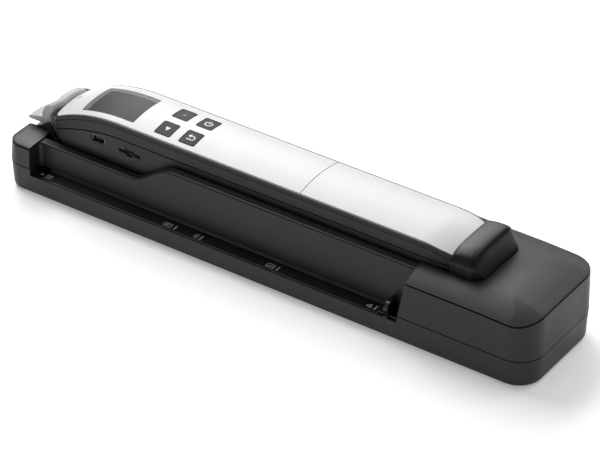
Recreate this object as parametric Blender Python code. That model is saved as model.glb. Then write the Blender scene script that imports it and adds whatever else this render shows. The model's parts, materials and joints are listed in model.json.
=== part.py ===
"""A docking feeder scanner: a slim hand scanner lying in a motor-driven paper feeder.

Sizes are in millimetres from the drawing datum: x runs from the paper's left stop to the
right, y from the front to the back, z up from the underside of the lower shell. ORIGIN moves
that datum to the part's own frame, the middle of its box on the surface it stands on.
"""

import math

import bmesh
import bpy

MM = 0.001
ORIGIN = (141.65, 32.1, -1.0)
GAP = 0.3
BORE_PLAY = 0.08

# Dock
DOCK_LEFT, DOCK_RIGHT = -17.0, 300.3
DOCK_FRONT, DOCK_BACK = -0.8, 65.0
DOCK_MIDDLE = (DOCK_FRONT + DOCK_BACK) / 2
LEFT_CORNER, RIGHT_CORNER = 9.0, 14.0
SEAM_Z = 15.0
WALL = 2.0
LIP_Z = 11.1
BAY_LEFT, BAY_RIGHT, BAY_LEAN, BAY_WALL_Y = -0.7, 222.8, 0.1787, 8.6
LOW_TOP, HIGH_TOP = 28.0, 41.2
RISE_START, RISE_END = 58.0, 84.0
SLOPE_FADE_START, SLOPE_FADE_END = 289.0, 301.0
SLOPE_DROP, SLOPE_REACH = 3.1, 8.0
BAY_HIGH = 60.0
BAY_OUTLINE_TOP = (BAY_RIGHT + BAY_HIGH * BAY_LEAN, BAY_HIGH)
STRIP_SEAT_Z = 10.2
FRONT_WALL_FOOT = 13.0
UNDER_Z = 19.3
EDGE_NAMES = ["front_left", "back_left", "front_right", "back_right"]
SCREW_SPOTS = [(-8.6, 12.0), (-8.6, 52.2), (288.0, 12.0), (288.0, 52.2)]
SCREW_R, SCREW_HEAD_R, BOSS_R, BOSS_BORE_R = 1.0, 2.7, 3.2, 1.3
LEFT_BOSS_TOP, RIGHT_BOSS_TOP = 24.0, 33.0
FOOT_SPOTS = [(4.0, 10.0), (4.0, 54.2), (276.0, 10.0), (276.0, 54.2)]
FOOT_R = 4.7

# Hood
HOOD_LEFT, HOOD_RIGHT = 246.0, 263.3
HOOD_FOOT_Z = HIGH_TOP + GAP
HOOD_WALL, HOOD_PLAY = 0.9, 0.4

# Wand
WAND_Y, WAND_HALF = 32.1, 18.0
WAND_LENGTH, WAND_BOTTOM = 256.0, 23.6
COVER_Z, CROWN, GROOVE_Z = 51.8, 2.6, 43.6
RIM = 2.2
NOSE_LENGTH, NOSE_DROP = 48.0, 13.6
DOOR_SEAM, DOOR_END = 157.5, 245.3
TROUGH_FRONT, TROUGH_BACK = 13.6, 50.6
TROUGH_LEFT, TROUGH_RIGHT, TROUGH_Z = -1.3, 257.6, 21.3
WHEEL_X = {"left": 9.0, "right": 234.0}
WHEEL_R, WHEEL_WIDTH, WHEEL_Z = 4.4, 4.0, 27.8
BATTERY_Y = {"front": 24.6, "rear": 39.6}
BATTERY_R, BATTERY_Z = 7.1, 42.2
TILT_PIVOT = (245.6, WAND_Y, 51.9)

# Lock lever
LEVER_FRONT, LEVER_BACK, LEVER_PLAY = 20.0, 44.2, 0.6
LEVER_PIVOT = (-4.0, WAND_Y, 25.8)
POCKET_Z = 23.0
PIN_R, HUB_R = 1.1, 2.3

# Feed
ROLLER_SPREAD, ROLLER_Z = 9.6, 16.8
SHAFT_R, RUBBER_R = 2.0, 5.8
RUBBER_SPANS = {"left": (30.0, 80.0), "right": (140.0, 190.0)}
GEAR_MODULE, GEAR_TEETH, PINION_TEETH = 0.8, 14, 10
GEAR_X = (263.0, 267.0)
BRACKET_LEFT, BRACKET_RIGHT = (-6.0, -4.2), (260.2, 262.0)
BUSH_R = 3.3
BRACKET_TOP = ROLLER_Z + BUSH_R + 0.6

BUTTON_X, BUTTON_Y, BUTTON_SIZE = (66.2, 81.2), (18.4, 33.4), (9.4, 9.8)
WINDOW_X, WINDOW_Y = (20.0, 52.6), (19.0, 43.0)


def material(name, colour, roughness, metallic=0.0):
    made = bpy.data.materials.new(name)
    made.use_nodes = True
    shader = made.node_tree.nodes["Principled BSDF"]
    shader.inputs["Base Color"].default_value = (*colour, 1.0)
    shader.inputs["Roughness"].default_value = roughness
    shader.inputs["Metallic"].default_value = metallic
    return made


def placed(point):
    """A point of the drawing, in the part's frame and in metres."""
    return tuple((value - start) * MM for value, start in zip(point, ORIGIN))


def solid(name, points, faces, finish, pivot=(0.0, 0.0, 0.0)):
    """An object of these points, with its origin at pivot."""
    mesh = bpy.data.meshes.new(name)
    mesh.from_pydata([[(p - o) * MM for p, o in zip(point, pivot)] for point in points], [], faces)
    work = bmesh.new()
    work.from_mesh(mesh)
    bmesh.ops.recalc_face_normals(work, faces=work.faces)
    work.to_mesh(mesh)
    work.free()
    mesh.shade_smooth()
    mesh.set_sharp_from_angle(angle=math.radians(30))
    if finish:
        mesh.materials.append(finish)
    obj = bpy.data.objects.new(name, mesh)
    obj.location = placed(pivot)
    bpy.context.scene.collection.objects.link(obj)
    return obj


def loft(name, rings, finish, pivot=(0.0, 0.0, 0.0)):
    """A closed solid through rings that have the same number of points."""
    count = len(rings[0])
    faces = [list(range(count)), [(len(rings) - 1) * count + i for i in range(count)]]
    for ring in range(len(rings) - 1):
        for i in range(count):
            j = (i + 1) % count
            low, high = ring * count, (ring + 1) * count
            faces.append([low + i, low + j, high + j, high + i])
    return solid(name, [point for ring in rings for point in ring], faces, finish, pivot)


def prism(name, axis, outline, low, high, finish, pivot=(0.0, 0.0, 0.0)):
    """An outline given by its two other coordinates, in x, y, z order, extruded along an axis."""
    def ring(value):
        spots = []
        for a, b in outline:
            spots.append({"x": (value, a, b), "y": (a, value, b), "z": (a, b, value)}[axis])
        return spots
    return loft(name, [ring(low), ring(high)], finish, pivot)


def block(name, low, high, finish, pivot=(0.0, 0.0, 0.0)):
    outline = [(low[0], low[1]), (high[0], low[1]), (high[0], high[1]), (low[0], high[1])]
    return prism(name, "z", outline, low[2], high[2], finish, pivot)


def circle(centre, radius, count):
    angles = [2 * math.pi * i / count for i in range(count)]
    return [(centre[0] + radius * math.cos(a), centre[1] + radius * math.sin(a)) for a in angles]


def rod(name, axis, centre, radius, low, high, finish, count=24, pivot=(0.0, 0.0, 0.0)):
    return prism(name, axis, circle(centre, radius, count), low, high, finish, pivot)


def boolean(target, tool, operation):
    tool.hide_render = True
    tool.display_type = "WIRE"
    modifier = target.modifiers.new(tool.name, "BOOLEAN")
    modifier.operation = operation
    modifier.solver = "EXACT"
    modifier.object = tool


def cut(target, *tools):
    for tool in tools:
        boolean(target, tool, "DIFFERENCE")


def join(target, *tools):
    for tool in tools:
        boolean(target, tool, "UNION")


def smoothstep(value, low, high):
    t = min(max((value - low) / (high - low), 0.0), 1.0)
    return t * t * (3 - 2 * t)


# ---------------------------------------------------------------- dock shells

def plan_corner(x):
    """The radius of the dock's plan corners at the end that x lies nearest to."""
    return RIGHT_CORNER if x > (DOCK_LEFT + DOCK_RIGHT) / 2 else LEFT_CORNER


def rounded_plan(inset, z, steps=5):
    """The dock's rounded plan outline at height z, moved in by inset."""
    points = []
    ends = [(DOCK_RIGHT, DOCK_BACK), (DOCK_LEFT, DOCK_BACK)]
    ends += [(DOCK_LEFT, DOCK_FRONT), (DOCK_RIGHT, DOCK_FRONT)]
    for quarter, (x, y) in enumerate(ends):
        corner = plan_corner(x)
        centre_x = x - corner if x == DOCK_RIGHT else x + corner
        centre_y = y - corner if y == DOCK_BACK else y + corner
        for i in range(steps + 1):
            angle = (quarter + i / steps) * math.pi / 2
            reach = corner - inset
            points.append((centre_x + reach * math.cos(angle), centre_y + reach * math.sin(angle), z))
    return points


def dock_half(x):
    """Half the dock's depth at x, inside its rounded plan corners."""
    corner = plan_corner(x)
    end = min(x - DOCK_LEFT, DOCK_RIGHT - x)
    half = (DOCK_BACK - DOCK_FRONT) / 2
    if end >= corner:
        return half
    return half - corner + math.sqrt(corner ** 2 - (corner - end) ** 2)


def dock_top(x, from_front, from_back):
    """The height of the dock's top at x, these distances from its two long sides.

    The top is flat inside. It falls a little at the ends and the back, and in a long slope at the
    front of the high part, and the slope dies out towards the right end.
    """
    rise = smoothstep(x, RISE_START, RISE_END)
    slope = rise * (1 - smoothstep(x, SLOPE_FADE_START, SLOPE_FADE_END))
    drop, reach = 1.0 + 2.0 * rise, 6.0 + 2.0 * rise
    end = min(x - DOCK_LEFT, DOCK_RIGHT - x)
    near = min(from_back, end)
    falls = [drop * (1 - min(near / reach, 1.0)) ** 2]
    front_drop, front_reach = drop + SLOPE_DROP * slope, reach + SLOPE_REACH * slope
    falls.append(front_drop * (1 - min(from_front / front_reach, 1.0)) ** 2)
    edge_round = 1.0 if min(from_front, near) < 1.0 else 0.0
    return LOW_TOP + (HIGH_TOP - LOW_TOP) * rise - max(falls) - edge_round


def dock_section(x):
    half = dock_half(x)
    insets = [0.0, 1.2, 4.0, 8.0, 12.0, 17.0]
    depths = insets + [2 * half - step for step in reversed(insets)]
    front = DOCK_MIDDLE - half
    top = [(x, front + depth, dock_top(x, depth, 2 * half - depth)) for depth in depths]
    return [(x, front, SEAM_Z + GAP)] + top + [(x, front + 2 * half, SEAM_Z + GAP)]


def make_upper_shell(finish):
    stations = [DOCK_LEFT + end for end in (0.0, 0.5, 1.6, 3.4, 6.0, LEFT_CORNER)]
    stations += [20.0, RISE_START, 62.0, 66.0, 71.0, 76.0, 80.0, RISE_END, 150.0, 262.0]
    stations += [DOCK_RIGHT - end for end in (18.0, RIGHT_CORNER, 9.0, 5.0, 2.4, 0.7, 0.0)]
    shell = loft("dock_upper_shell", [dock_section(x) for x in stations], finish)
    bay = [(BAY_LEFT, 0), (BAY_RIGHT, 0), BAY_OUTLINE_TOP, (BAY_LEFT, BAY_HIGH)]
    cut(shell, prism("cut_upper_bay", "y", bay, -5, BAY_WALL_Y, None))
    wall_low = (BAY_LEFT + GAP, BAY_WALL_Y, FRONT_WALL_FOOT)
    join(shell, block("add_front_wall", wall_low, (224.6, 10.6, 21), None))
    trough_low, trough_high = (TROUGH_LEFT, TROUGH_FRONT, TROUGH_Z), (TROUGH_RIGHT, TROUGH_BACK, 70)
    cut(shell, block("cut_trough", trough_low, trough_high, None))
    cut(shell, block("cut_window", (4, TROUGH_FRONT, 12), (226, TROUGH_BACK, 30), None))
    under = [(-14.5, 10.6), (298, 10.6), (298, 52), (287, 62.8), (-3, 62.8), (-14.5, 51)]
    cut(shell, prism("cut_under_back", "z", under, 12, UNDER_Z, None))
    rail = [(-12, 12), (254, 12), (254, 33.5), (88, 33.5), (56, 23.6), (-12, 21)]
    cut(shell, prism("cut_back_rail", "y", rail, 52.6, 62.6, None))
    right = [(259.8, 1.6), (286, 1.6), (297.9, 13.5), (297.9, 51), (286, 62.6), (259.8, 62.6)]
    cut(shell, prism("cut_right", "z", right, 12, 31.5, None))
    cut(shell, block("cut_right_high", (259.8, 10, 30), (284, 55, 38.6), None))
    cut(shell, block("cut_right_front", (232, 1.6, 12), (260.5, 11.4, 31.5), None))
    cap = [(-14.6, 13.5), (-6, 1.8), (-2.9, 1.8), (-2.9, 62.4), (-6, 62.4), (-14.6, 50.5)]
    cut(shell, prism("cut_cap", "z", cap, 12, POCKET_Z - WALL, None))
    pocket_low = (-19, LEVER_FRONT - LEVER_PLAY, POCKET_Z)
    pocket_high = (TROUGH_LEFT + 0.5, LEVER_BACK + LEVER_PLAY, 50)
    cut(shell, block("cut_pocket", pocket_low, pocket_high, None))
    cut(shell, rod("cut_pin", "y", (LEVER_PIVOT[0], LEVER_PIVOT[2]), PIN_R + GAP, 17.0, 47.2, None))
    for index, (x, y) in enumerate(SCREW_SPOTS):
        top = LEFT_BOSS_TOP if x < 0 else RIGHT_BOSS_TOP
        join(shell, rod(f"add_boss_{index}", "z", (x, y), BOSS_R, 2.4, top, None, 16))
        cut(shell, rod(f"cut_boss_{index}", "z", (x, y), BOSS_BORE_R, 1.0, 12.0, None, 16))


def make_lower_shell(finish):
    rings = [rounded_plan(2.0, 0.0), rounded_plan(0.9, 1.1), rounded_plan(0.0, SEAM_Z)]
    shell = loft("dock_lower_shell", rings, finish)
    cut(shell, loft("cut_tray", [rounded_plan(2.8, WALL), rounded_plan(WALL, 18.0)], None))
    join(shell, block("add_shelf", (-2.7, 0.5, 8.8), (227, 7.5, 10.2), None))
    join(shell, block("add_bay_left", (-2.7, 0.5, 9.4), (BAY_LEFT, 10.3, SEAM_Z), None))
    join(shell, block("add_bay_right", (225.1, 0.5, 9.4), (227, 10.3, SEAM_Z), None))
    bay = [(BAY_LEFT, LIP_Z), (BAY_RIGHT + LIP_Z * BAY_LEAN, LIP_Z), BAY_OUTLINE_TOP, (BAY_LEFT, BAY_HIGH)]
    cut(shell, prism("cut_lower_bay", "y", bay, -5, 12.0, None))
    cut(shell, block("cut_strip_seat", (BAY_LEFT, 0.8, STRIP_SEAT_Z), (BAY_RIGHT + 1.9, 12.0, 20), None))
    cut(shell, block("cut_exit", (BAY_LEFT, 61, 11.6), (225, 70, 20), None))
    cut(shell, block("cut_inlet_hole", (239.7, 60, 3.7), (247.9, 70, 8.1), None))
    for index, (x, y) in enumerate(SCREW_SPOTS):
        cut(shell, rod(f"cut_screw_{index}", "z", (x, y), SCREW_R + 2 * GAP, -1, 4, None, 16))
        cut(shell, rod(f"cut_head_{index}", "z", (x, y), SCREW_HEAD_R + GAP, -1, 0.9, None, 16))
    for index, (x, y) in enumerate(FOOT_SPOTS):
        cut(shell, rod(f"cut_foot_{index}", "z", (x, y), FOOT_R + GAP, -1, 0.6, None, 24))


def make_fasteners(steel, rubber):
    for name, (x, y) in zip(EDGE_NAMES, SCREW_SPOTS):
        head = rod(f"screw_{name}", "z", (x, y), SCREW_HEAD_R, -0.5, 0.6, steel, 16)
        join(head, rod(f"add_shank_{name}", "z", (x, y), SCREW_R, 0.5, 9.0, None, 12))
        cut(head, block(f"cut_slot_{name}", (x - 1.6, y - 0.3, -1), (x + 1.6, y + 0.3, 0.0), None))
        cut(head, block(f"cut_cross_{name}", (x - 0.3, y - 1.6, -1), (x + 0.3, y + 1.6, 0.0), None))
    for name, (x, y) in zip(EDGE_NAMES, FOOT_SPOTS):
        rod(f"foot_{name}", "z", (x, y), FOOT_R, -1.0, 0.3, rubber, 24)


def hood_section(x, grow, foot):
    """The hood's arch at x. grow is how far it stands outside the wand, foot its lower edge."""
    half = wand_half(max(x, HOOD_LEFT)) + grow
    top, shoulder = cover_edge(x) + CROWN + grow, cover_edge(x) - 1.5
    arch = []
    for i in range(9):
        angle = math.pi * (1 - i / 8)
        y = WAND_Y + half * math.copysign(abs(math.cos(angle)) ** 0.75, math.cos(angle))
        arch.append((x, y, shoulder + (top - shoulder) * math.sin(angle) ** 0.6))
    return [(x, WAND_Y - half, foot)] + arch + [(x, WAND_Y + half, foot)]


def make_hood(finish):
    """The hood over the wand's right end. tops pairs each station with its height above the cover there."""
    crown = cover_edge(HOOD_LEFT) + CROWN
    tops = [(HOOD_LEFT, 0.9), (247.0, 1.4), (249.5, 1.8), (253.0, 2.0)]
    tops += [(257.0, 2.0), (259.5, 0.6), (261.6, -3.0)]
    rings = []
    for x, lift in tops:
        raised = cover_edge(x) + CROWN + HOOD_WALL
        stretch = (crown + lift - raised) / (raised - HOOD_FOOT_Z)
        arch = hood_section(x, HOOD_WALL, HOOD_FOOT_Z)
        rings.append([(px, py, pz + stretch * (pz - HOOD_FOOT_Z)) for px, py, pz in arch])
    last = [(HOOD_RIGHT, WAND_Y + (py - WAND_Y) * 0.9, min(pz, 44.0)) for _, py, pz in rings[-1]]
    hood = loft("hood", rings + [last], finish)
    inside = [hood_section(x, HOOD_PLAY, 40.0) for x in (245.0, HOOD_LEFT, 250.0, 254.0, 257.4)]
    cut(hood, loft("cut_hood", inside, None))


# ---------------------------------------------------------------- wand

def cover_edge(x):
    """The height of the wand's long upper edge at x."""
    if x < NOSE_LENGTH:
        return COVER_Z - NOSE_DROP * (1 - x / NOSE_LENGTH) ** 2.19
    return COVER_Z - 2.8 * max((x - 228) / 18, 0.0) ** 2


def groove(x):
    """The height of the joint between the wand's body and its frame."""
    return GROOVE_Z - 11.5 * max(1 - x / 46, 0.0) ** 1.79 - 1.4 * max((x - 236) / 20, 0.0) ** 2


def wand_bottom(x):
    return WAND_BOTTOM + 8.2 * (1 - smoothstep(x, 2, 12))


def wand_half(x):
    nose = 6.0 * max(1 - x / 8, 0.0) ** 2
    return WAND_HALF - nose - 1.2 * smoothstep(x, 238, 246)


def body_section(x):
    half, low, high = wand_half(x), wand_bottom(x), groove(x) - GAP / 2
    corner = min(4.0, 0.45 * (high - low))
    round_off = 0.3 * corner
    side = [(-half, high), (-half, low + corner), (round_off - half, low + round_off), (corner - half, low)]
    points = side + [(-y, z) for y, z in reversed(side)]
    return [(x, WAND_Y + y, z) for y, z in points]


def band_section(x, low, high, inset):
    half = wand_half(x)
    ring = [(-half, low), (half, low), (half - inset, high), (inset - half, high)]
    return [(x, WAND_Y + y, z) for y, z in ring]


def cover_section(x, thickness=1.6, steps=8):
    half, edge = wand_half(x) - 0.5, cover_edge(x)
    outer, inner = [], []
    for i in range(steps + 1):
        t = 2 * i / steps - 1
        outer.append((x, WAND_Y + half * t, edge + 0.4 + (CROWN - 0.4) * (1 - t * t)))
        inner.append((x, WAND_Y + (half - 0.2) * t, edge + (CROWN - thickness) * (1 - t * t)))
    return outer + inner[::-1]


NOSE_STATIONS = [4.0, 8.0, 12.0, 18.0, 26.0, 36.0, 48.0]
NOTCH = [(-3, 18), (4.7, 18), (4.2, 31), (3.5, 41.5), (3.5, 60), (-3, 60)]


def notch(name):
    return prism(name, "y", NOTCH, LEVER_FRONT - LEVER_PLAY, LEVER_BACK + LEVER_PLAY, None)


def hollow(name):
    outline = [(7, 34), (13, 26.2), (252, 26.2), (252, 70), (7, 70)]
    return prism(name, "y", outline, WAND_Y - 15.6, WAND_Y + 15.6, None)


def make_wand_body(dark):
    stations = [0.4, 2.0] + NOSE_STATIONS + [150.0, 238.0, 242.0, 246.0, 252.0, 255.0]
    rings = [body_section(x) for x in stations]
    rings.append([(WAND_LENGTH, WAND_Y + (y - WAND_Y) * 0.95, z + (32 - z) * 0.06) for _, y, z in rings[-1]])
    body = loft("wand_body", rings, dark, TILT_PIVOT)
    cut(body, hollow("cut_body_hollow"), notch("cut_body_notch"))
    cut(body, block("cut_scan_slot", (14, 26, 20), (230, 38, 30), None))
    cut(body, block("cut_usb", (29.2, 10, 36.4), (37.6, 20, 40.4), None))
    cut(body, block("cut_card", (46.4, 10, 36.2), (60.4, 20, 38.2), None))
    cut(body, rod("cut_card_notch", "y", (53.4, 38.0), 3.0, 10, 15.2, None, 20))
    for name, x in WHEEL_X.items():
        cut(body, block(f"cut_wheel_{name}", (x - 0.4, 27.2, 20), (x + WHEEL_WIDTH + 0.4, 36.8, 33), None))


def make_wand_bands(dark, gloss):
    stations = [0.4, 2.0] + NOSE_STATIONS + [150.0, 238.0, 242.0, 246.0, 252.0, 255.6]
    frame_rings = [band_section(x, groove(x) + GAP / 2, cover_edge(x) - RIM - GAP, 0.0) for x in stations]
    frame = loft("wand_frame", frame_rings, dark, TILT_PIVOT)
    cut(frame, hollow("cut_frame_hollow"), notch("cut_frame_notch"))
    rim_rings = [band_section(x, cover_edge(x) - RIM, cover_edge(x) - GAP, 0.5) for x in stations]
    rim = loft("wand_rim", rim_rings, gloss, TILT_PIVOT)
    cut(rim, hollow("cut_rim_hollow"), notch("cut_rim_notch"))


def make_covers(white, glass, keys):
    front = [3.5, 6.0] + NOSE_STATIONS[1:] + [60.0, 100.0, DOOR_SEAM - GAP / 2]
    cover = loft("front_cover", [cover_section(x) for x in front], white, TILT_PIVOT)
    low, high = (WINDOW_X[0] - GAP, WINDOW_Y[0] - GAP, 40), (WINDOW_X[1] + GAP, WINDOW_Y[1] + GAP, 60)
    cut(cover, block("cut_window_hole", low, high, None))
    names = {(0, 0): "button_down", (1, 0): "button_back", (0, 1): "button_up", (1, 1): "button_power"}
    for (i, j), name in names.items():
        x, y = BUTTON_X[i], BUTTON_Y[j]
        width, depth = BUTTON_SIZE
        cut(cover, block(f"cut_{name}", (x - GAP, y - GAP, 48), (x + width + GAP, y + depth + GAP, 60), None))
        tall = COVER_Z + CROWN * (1 - ((y + depth / 2 - WAND_Y) / WAND_HALF) ** 2) + 0.25
        pivot = (x + width / 2, y + depth / 2, 49.0)
        rings = []
        for inset, z in [(0.0, 49.2), (0.0, tall - 0.5), (0.6, tall)]:
            left, right, front, back = x + inset, x + width - inset, y + inset, y + depth - inset
            rings.append([(left, front, z), (right, front, z), (right, back, z), (left, back, z)])
        loft(name, rings, keys, pivot)
    rear = [DOOR_SEAM + GAP / 2, 200.0, 228.0, 236.0, 241.0, DOOR_END]
    loft("battery_door", [cover_section(x) for x in rear], white, (201.5, WAND_Y, COVER_Z))
    panes = []
    for i in range(5):
        x = WINDOW_X[0] + (WINDOW_X[1] - WINDOW_X[0]) * i / 4
        top, bottom = [], []
        for j in range(5):
            y = WINDOW_Y[0] + (WINDOW_Y[1] - WINDOW_Y[0]) * j / 4
            t = (y - WAND_Y) / (wand_half(x) - 0.5)
            z = cover_edge(x) + 0.4 + (CROWN - 0.4) * (1 - t * t)
            top.append((x, y, z))
            bottom.append((x, y, z - 1.3))
        panes.append(top + bottom[::-1])
    loft("display_window", panes, glass, TILT_PIVOT)


def make_wand_inside(finishes):
    board, metal, black = finishes["board"], finishes["steel"], finishes["black"]
    glass, cell = finishes["glass"], finishes["battery"]
    block("main_board", (16, 17.2, 34.9), (150, 47, 36.1), board, TILT_PIVOT)
    block("keypad_board", (60, 17.4, 46.6), (96, 46.6, 47.8), board, TILT_PIVOT)
    module = [(21, 43.2), (52, 43.2), (52, 49.0), (34, 46.6), (21, 44.4)]
    prism("display_module", "y", module, 19.5, 43.4, black, TILT_PIVOT)
    usb = block("usb_port", (29.5, 14.3, 36.4), (37.3, 21.5, 40.1), metal, TILT_PIVOT)
    cut(usb, block("cut_usb_mouth", (30.1, 14.0, 37.0), (36.7, 20.0, 39.5), None))
    socket = block("card_slot", (46.7, 14.6, 36.4), (60.1, 28.0, 37.9), metal, TILT_PIVOT)
    cut(socket, block("cut_card_mouth", (47.5, 14.0, 36.8), (59.3, 26.0, 37.5), None))
    sensor = block("sensor_module", (14.0, 25.4, 26.6), (231.4, 38.6, 33.6), black, TILT_PIVOT)
    cut(sensor, block("cut_lens", (16, 30.8, 25), (228, 33.2, 29), None))
    block("scan_glass", (14.3, 26.3, 24.1), (229.7, 37.7, 25.3), glass, TILT_PIVOT)
    for name, y in BATTERY_Y.items():
        can = rod(f"battery_{name}", "x", (y, BATTERY_Z), BATTERY_R, 172.0, 220.6, cell, 24, TILT_PIVOT)
        join(can, rod(f"add_tip_{name}", "x", (y, BATTERY_Z), 2.7, 220.0, 222.0, None, 16))
    block("contact_plate_left", (168.6, 18, 36.5), (169.4, 46, 48), metal, TILT_PIVOT)
    block("contact_plate_right", (222.6, 18, 36.5), (223.4, 46, 48), metal, TILT_PIVOT)
    for name, x in WHEEL_X.items():
        pivot = (x + WHEEL_WIDTH / 2, WAND_Y, WHEEL_Z)
        span = (x, x + WHEEL_WIDTH)
        rod(f"wand_wheel_{name}", "x", (WAND_Y, WHEEL_Z), WHEEL_R, *span, finishes["rubber"], 24, pivot)


# ---------------------------------------------------------------- lock lever and paper guide

def make_lever(grey, steel):
    px, _, pz = LEVER_PIVOT
    angles = [math.radians(degrees) for degrees in range(200, 361, 20)]
    hub = [(px + HUB_R * math.cos(a), pz + HUB_R * math.sin(a)) for a in angles]
    hook = [(-0.9, 31.5), (-0.5, 34.0), (1.0, 38.0), (3.2, 41.3), (3.0, 43.6), (1.4, 44.8), (-0.6, 44.6)]
    bar_back = [(-1.7, 41.0), (-2.4, 36.5), (-4.4, 34.0)]
    paddle = [(-10.0, 33.5), (-16.3, 32.1), (-17.0, 31.2), (-16.4, 30.4), (-8.0, 30.4)]
    outline = hub + hook + bar_back + paddle
    lever = prism("lock_lever", "y", outline, LEVER_FRONT, LEVER_BACK, grey, LEVER_PIVOT)
    cut(lever, rod("cut_lever_bore", "y", (px, pz), PIN_R + BORE_PLAY, 10, 60, None, 32))
    rod("lever_pin", "y", (px, pz), PIN_R, 17.4, 46.8, steel, 32)
    make_coil("lever_spring", (-11.0, WAND_Y, POCKET_Z + GAP), 30.4 - GAP, 2.2, 0.3, 4, steel)


def make_coil(name, foot, top, radius, wire, turns, finish, around=12, sides=6):
    """A compression spring standing on foot, one round wire along a helix."""
    rings = []
    height = top - foot[2] - 2 * wire
    for i in range(turns * around + 1):
        angle = 2 * math.pi * i / around
        z = foot[2] + wire + height * i / (turns * around)
        ring = []
        for out, up in circle((0.0, 0.0), wire, sides):
            reach = radius + out
            ring.append((foot[0] + reach * math.cos(angle), foot[1] + reach * math.sin(angle), z + up))
        rings.append(ring)
    loft(name, rings, finish)


def make_guide(finish):
    """The sliding side guide: a fin with a rounded upper front corner, a foot and a tongue under the wall."""
    pivot = (218.6, 4.0, LIP_Z + GAP)
    front_y, back_y, top_z, radius = -0.4, 8.3, 19.6, 4.0
    corner = []
    for angle in map(math.radians, range(0, 91, 15)):
        corner.append((front_y + radius * (1 - math.cos(angle)), top_z - radius * (1 - math.sin(angle))))
    outline = [(front_y, LIP_Z + GAP)] + corner + [(back_y, 19.1), (back_y, LIP_Z + GAP)]
    fin = prism("paper_guide", "x", outline, 217.2, 219.6, finish, pivot)
    join(fin, block("add_guide_foot", (212.4, 1.2, LIP_Z + GAP), (224.0, 7.4, LIP_Z + 1.5), None))
    join(fin, block("add_guide_tongue", (214.0, 7.0, LIP_Z + GAP), (222.6, 9.7, LIP_Z + 1.4), None))


# ---------------------------------------------------------------- paper feed

def gear_outline(centre, teeth, turn):
    """A spur gear's outline, its teeth narrowed towards their tips.

    Each pair of flank is a distance from the pitch circle in modules, and half the tooth there in pitches.
    """
    pitch = GEAR_MODULE * teeth / 2
    flank = [(-1.15, 0.36), (-0.3, 0.265), (0.35, 0.17), (0.8, 0.09)]
    shape = [(pitch + out * GEAR_MODULE, part) for out, part in flank]
    points = []
    for tooth in range(teeth):
        middle = turn + 2 * math.pi * tooth / teeth
        for radius, part in shape:
            angle = middle - part * 2 * math.pi / teeth
            points.append((centre[0] + radius * math.cos(angle), centre[1] + radius * math.sin(angle)))
        for radius, part in reversed(shape):
            angle = middle + part * 2 * math.pi / teeth
            points.append((centre[0] + radius * math.cos(angle), centre[1] + radius * math.sin(angle)))
    return points


def make_feed(finishes):
    steel, rubber, nylon = finishes["steel"], finishes["rubber"], finishes["nylon"]
    for side, sign in (("front", -1), ("rear", 1)):
        y = WAND_Y + sign * ROLLER_SPREAD
        pivot = (120.0, y, ROLLER_Z)
        rod(f"{side}_roller_shaft", "x", (y, ROLLER_Z), SHAFT_R, -7.0, 268.0, steel, 32, pivot)
        for span, (low, high) in RUBBER_SPANS.items():
            sleeve = rod(f"{side}_roller_{span}", "x", (y, ROLLER_Z), RUBBER_R, low, high, rubber, 24, pivot)
            cut(sleeve, rod(f"cut_sleeve_{side}_{span}", "x", (y, ROLLER_Z), SHAFT_R + GAP, 0, 250, None, 24))
        turn = math.pi / GEAR_TEETH + (0 if sign < 0 else math.pi)
        teeth = gear_outline((y, ROLLER_Z), GEAR_TEETH, turn)
        gear = prism(f"{side}_roller_gear", "x", teeth, *GEAR_X, nylon, pivot)
        cut(gear, rod(f"cut_gear_{side}", "x", (y, ROLLER_Z), SHAFT_R + GAP, 250, 280, None, 24))
        for end, (low, high) in (("left", BRACKET_LEFT), ("right", BRACKET_RIGHT)):
            bush = rod(f"{side}_bush_{end}", "x", (y, ROLLER_Z), BUSH_R, low, high, finishes["bronze"], 24)
            bore_r = SHAFT_R + BORE_PLAY
            cut(bush, rod(f"cut_bush_{side}_{end}", "x", (y, ROLLER_Z), bore_r, low - 1, high + 1, None, 32))
    for end, (low, high) in (("left", BRACKET_LEFT), ("right", BRACKET_RIGHT)):
        bracket = block(f"bearing_bracket_{end}", (low, 14, WALL + GAP), (high, 50.2, BRACKET_TOP), steel)
        for sign in (-1, 1):
            spot = (WAND_Y + sign * ROLLER_SPREAD, ROLLER_Z)
            seat_r = BUSH_R + GAP
            cut(bracket, rod(f"cut_bracket_{end}_{sign}", "x", spot, seat_r, low - 1, high + 1, None, 24))
    axis_spot = (WAND_Y, ROLLER_Z)
    pivot = (sum(GEAR_X) / 2, *axis_spot)
    pinion = prism("motor_pinion", "x", gear_outline(axis_spot, PINION_TEETH, 0), *GEAR_X, nylon, pivot)
    join(pinion, rod("add_motor_shaft", "x", axis_spot, 1.0, 262.6, 270.4, None, 16))
    rod("feed_motor", "x", axis_spot, 11.0, 270.7, 296.0, steel, 32)
    plate = block("motor_plate", (268.9, 18, WALL + GAP), (270.3, 46, 30), steel)
    cut(plate, rod("cut_motor_plate", "x", axis_spot, 2.4, 268, 271, None, 24))


def make_paper_plate(finish):
    """The folded plate that the paper rides over, up to the scan line and down to the exit."""
    top = [(7.8, 10.3), (9.4, 10.6), (17.2, 20.9), (47.0, 20.9), (56.0, 11.6), (62.4, 11.0)]
    bottom = [(62.4, 10.2), (55.6, 10.8), (46.6, 20.3), (17.6, 20.3), (9.8, 9.8), (7.8, 9.5)]
    plate = prism("paper_plate", "x", top + bottom, 4.6, 224.0, finish)
    for side, sign in (("front", -1), ("rear", 1)):
        y = WAND_Y + sign * ROLLER_SPREAD
        for span, (low, high) in RUBBER_SPANS.items():
            half = RUBBER_R + 0.6
            opening_low, opening_high = (low - 1, y - half, 19.5), (high + 1, y + half, 25)
            cut(plate, block(f"cut_plate_{side}_{span}", opening_low, opening_high, None))


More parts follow.
